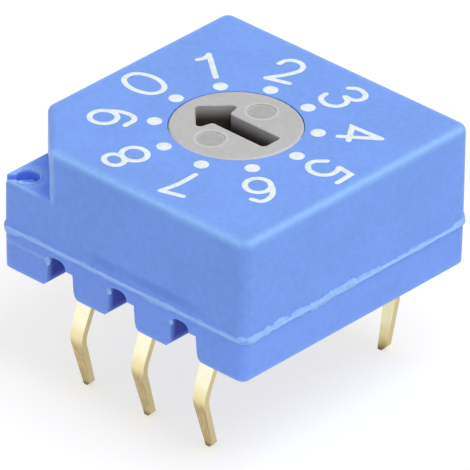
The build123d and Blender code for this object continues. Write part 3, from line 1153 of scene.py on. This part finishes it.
@dataclass
class Lump:
    """A lump of plastic on the housing, sunk in it for a part; its bumps have a height and a pace."""

    name: str
    plastic: Material
    spot: Vector
    half_sizes: Triple
    seed: int = 0
    bumps: Point = (0.3, 1.7)
    fullness: float = 0.85
    subdivisions: int = 4

    def build(self) -> None:
        """Dents a ball, presses it to its size and puts it in its place."""
        height, pace = self.bumps
        bm = bmesh.new()
        bmesh.ops.create_icosphere(bm, subdivisions=self.subdivisions, radius=1.0)
        for vert in bm.verts:
            vert.co *= self.fullness + height * noise.noise(pace * vert.co + Vector((self.seed, 0, 0)))
        size = Matrix.Diagonal((*self.half_sizes, 1.0))
        bmesh.ops.transform(bm, matrix=Matrix.Translation(self.spot) @ size, verts=bm.verts)
        add_to_housing(bm, self.name, self.plastic)


@dataclass
class NotchHighlightTabs:
    """Small tabs of pale plastic at one upper corner of each front notch: a moulded rounded corner, pale as a
    painted highlight on it.
    """

    plastic: Material
    pitch: float = 2.54 * MM
    aside: float = 0.50 * MM
    front: float = 4.985 * MM
    height: float = 0.98 * MM
    half_sizes: Triple = (0.13 * MM, 0.045 * MM, 0.16 * MM)
    shares: tuple[float, ...] = (1.0, 0.8, 0.75)

    def build(self) -> None:
        """Presses one lumpy tab on the base beside every notch."""
        for column, share in enumerate(self.shares):
            spot = Vector(((column - 1) * self.pitch - self.aside, -self.front, self.height))
            sizes = tuple(share * half for half in self.half_sizes)
            Lump(f"notch_highlight_tab_{column + 1}", self.plastic, spot, sizes, seed=column).build()


@dataclass
class Housing:
    """The welded cover and base, with what the moulds and the weld left on them."""

    cover: MouldedPlastic = CoverPlastic("cover_plastic", (0.197, 0.378, 0.95))
    base: MouldedPlastic = BasePlastic("base_plastic", (0.203, 0.376, 0.985))
    weld: MouldedPlastic = WeldPlastic(
        "weld_plastic", (0.335, 0.565, 1.0), flow=0.06, flow_size=0.14 * MM
    )
    flash: MouldedPlastic = MouldedPlastic(
        "flash_plastic", (0.335, 0.555, 0.97), flow=0.06, flow_size=0.14 * MM
    )
    ink: PrintInk = PrintInk("print_ink")
    stub_spot: Vector = field(default_factory=lambda: Vector((-4.43, -4.43, 2.71)) * MM)
    stub_sizes: Triple = (0.5 * MM, 0.5 * MM, 0.23 * MM)
    stub_bumps: Point = (0.35, 2.6)

    def build(self) -> None:
        """Dresses the cover and the base, adds the weld's and the moulds' marks with pale tabs as painted
        highlight at the notches, and prints the face.
        """
        cover = self.cover.make()
        dress("cover", cover)
        dress("base", self.base.make())
        pale = self.flash.make()
        WeldFlash("weld_flash", self.weld.make(), proud=0.059 * MM, rise=0.18 * MM, steps=1600).build()
        Lump("gate_stub", cover, self.stub_spot, self.stub_sizes, seed=7, bumps=self.stub_bumps).build()
        # Pale tabs at the notches: painted highlight on their rounded corners.
        NotchHighlightTabs(pale).build()
        GateBurr("gate_burr", pale, proud=0.10 * MM, rise=0.11 * MM, steps=120).build()
        FacePrint(self.ink.make(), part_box("cover")[1].z).build()


@dataclass
class Dial:
    """The dial that turns, with the seal that goes round with it."""

    plastic: MouldedPlastic = DialPlastic("dial_plastic", (0.53, 0.53, 0.53))
    seal: Rubber = Rubber("seal_rubber")

    def build(self) -> None:
        """Dresses the dial and its seal."""
        dress("rotor", self.plastic.make())
        dress("seal", self.seal.make())


@dataclass
class Contacts:
    """The terminals with the code disc that they touch, and the click springs."""

    front: tuple[str, ...] = ("terminal_bit_1", "terminal_common_front", "terminal_bit_2")
    back: tuple[str, ...] = ("terminal_bit_8", "terminal_common_back", "terminal_bit_4")
    springs: tuple[str, ...] = ("click_spring_left", "click_spring_right")
    # Each row's heights where the painted reflection darkens.
    front_plating: PlatedMetal = PlatedMetal("front_plating", -1.3 * MM, -2.25 * MM)
    back_plating: PlatedMetal = PlatedMetal("back_plating", -2.7 * MM, -3.6 * MM, (1.0, 0.955, 0.60))
    steel: RolledSteel = RolledSteel("spring_steel")

    def build(self) -> None:
        """Dresses every terminal, the code disc and the springs."""
        finishes = (
            (self.front, self.front_plating),
            ((*self.back, "code_disc"), self.back_plating),
            (self.springs, self.steel),
        )
        for nodes, finish in finishes:
            material = finish.make()
            for node in nodes:
                dress(node, material)


@dataclass(frozen=True)
class Lamp:
    """A soft square light that faces the object; a highlight shows only as a glint on its edges."""

    name: str
    direction: Triple
    distance: float
    size: float
    power: float
    colour: Colour = (1.0, 1.0, 1.0)
    highlight: bool = False


@dataclass
class Studio:
    """Pale floor, soft light and the camera at the photo's view."""

    floor_height: float
    target: Vector = field(default_factory=lambda: Vector((0.008 * MM, 0.007 * MM, 1.015 * MM)))
    azimuth_deg: float = 42.45
    elevation_deg: float = 30.81
    roll_deg: float = 0.84
    distance: float = 282.0 * MM
    lens: float = 713.2
    clip: Point = (0.01, 10.0)
    sky: Colour = (0.553, 0.552, 0.615)
    backdrop: Colour = (1.0, 1.0, 1.0)
    floor_size: float = 0.6
    floor_colour: Colour = (0.90, 0.90, 0.90)
    floor_seen: Colour = (0.40, 0.44, 0.66)
    floor_glow: Colour = (0.676, 0.641, 0.45)
    floor_roughness: float = 0.9
    fibre_size: float = 0.8 * MM
    fibre_shade: float = 0.995
    lamps: tuple[Lamp, ...] = (
        Lamp("main", (0.44, -0.02, 0.90), 0.30, 0.16, 0.418, (1.0, 0.974, 0.814)),
        Lamp("right_glint", (0.51, 0.63, 0.58), 0.30, 0.22, 0.6, highlight=True),
        Lamp("left_glint", (-0.58, -0.51, 0.63), 0.30, 0.22, 0.6, highlight=True),
    )

    def build(self) -> None:
        """Makes the floor, the sky, the lamps and the camera."""
        self.make_floor()
        self.make_sky()
        for lamp in self.lamps:
            self.make_lamp(lamp)
        self.make_camera()

    def make_floor(self) -> None:
        """Lays a pale floor that looks white beyond the object's shadow."""
        bm = bmesh.new()
        place = Matrix.Translation((0, 0, self.floor_height))
        bmesh.ops.create_grid(bm, x_segments=1, y_segments=1, size=self.floor_size, matrix=place)
        graph = ShaderGraph("floor_paper")
        fibres = graph.noise(self.fibre_size)
        seen = seen_share(graph.tree)
        paper = graph.blend(fibres, scaled(self.floor_colour, self.fibre_shade), self.floor_colour)
        graph.feed(graph.blend(seen, paper, self.floor_seen), "Base Color")
        graph.set(Roughness=self.floor_roughness, Specular_IOR_Level=0.0)
        graph.shader.inputs["Emission Color"].default_value = (*self.floor_glow, 1.0)
        graph.feed(seen, "Emission Strength")
        piece_from(bm, "floor", graph.material)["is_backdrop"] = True

    def make_sky(self) -> None:
        """Lights everything evenly; the camera and mirrors see the plain backdrop."""
        world = bpy.data.worlds.new("sky")
        world.use_nodes = True
        tree = world.node_tree
        tree.nodes.clear()
        light, backdrop = (
            add_node(tree, "Background", {"Color": (*colour, 1.0)}) for colour in (self.sky, self.backdrop)
        )
        shaders = {1: light.outputs[0], 2: backdrop.outputs[0]}
        mix = add_node(tree, "MixShader", {"Fac": seen_share(tree), **shaders})
        add_node(tree, "OutputWorld", {"Surface": mix.outputs[0]})
        bpy.context.scene.world = world

    def make_lamp(self, lamp: Lamp) -> None:
        """Hangs one lamp and turns it to the object.

        Args:
            lamp: its place, size and power.
        """
        light = bpy.data.lights.new(lamp.name, "AREA")
        light.shape = "SQUARE"
        light.size = lamp.size
        light.energy = lamp.power
        light.color = lamp.colour
        way = Vector(lamp.direction).normalized()
        holder = bpy.data.objects.new(lamp.name, light)
        holder.location = self.target + way * lamp.distance
        holder.rotation_euler = way.to_track_quat("Z", "Y").to_euler()
        holder.visible_diffuse = not lamp.highlight
        bpy.context.scene.collection.objects.link(holder)

    def make_camera(self) -> None:
        """Sets the camera at the photo's view."""
        turn, lift, roll = (math.radians(a) for a in (self.azimuth_deg, self.elevation_deg, self.roll_deg))
        back = Vector((math.sin(turn) * math.cos(lift), -math.cos(turn) * math.cos(lift), math.sin(lift)))
        camera = bpy.data.objects.new("camera", bpy.data.cameras.new("camera"))
        camera.data.lens = self.lens
        camera.data.clip_start, camera.data.clip_end = self.clip
        upright = back.to_track_quat("Z", "Y").to_matrix().to_4x4()
        place = Matrix.Translation(self.target + back * self.distance)
        camera.matrix_world = place @ upright @ Matrix.Rotation(roll, 4, "Z")
        bpy.context.scene.collection.objects.link(camera)
        bpy.context.scene.camera = camera


def main() -> None:
    """Builds the sub-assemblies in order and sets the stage."""
    logging.basicConfig(level=logging.INFO, format="%(name)s: %(message)s")
    cad_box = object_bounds()
    Housing().build()
    Dial().build()
    Contacts().build()
    Studio(floor_height=cad_box[0].z).build()
    bpy.context.scene.view_settings.view_transform = "Standard"
    bpy.context.view_layer.update()


if __name__ == "__main__":
    main()
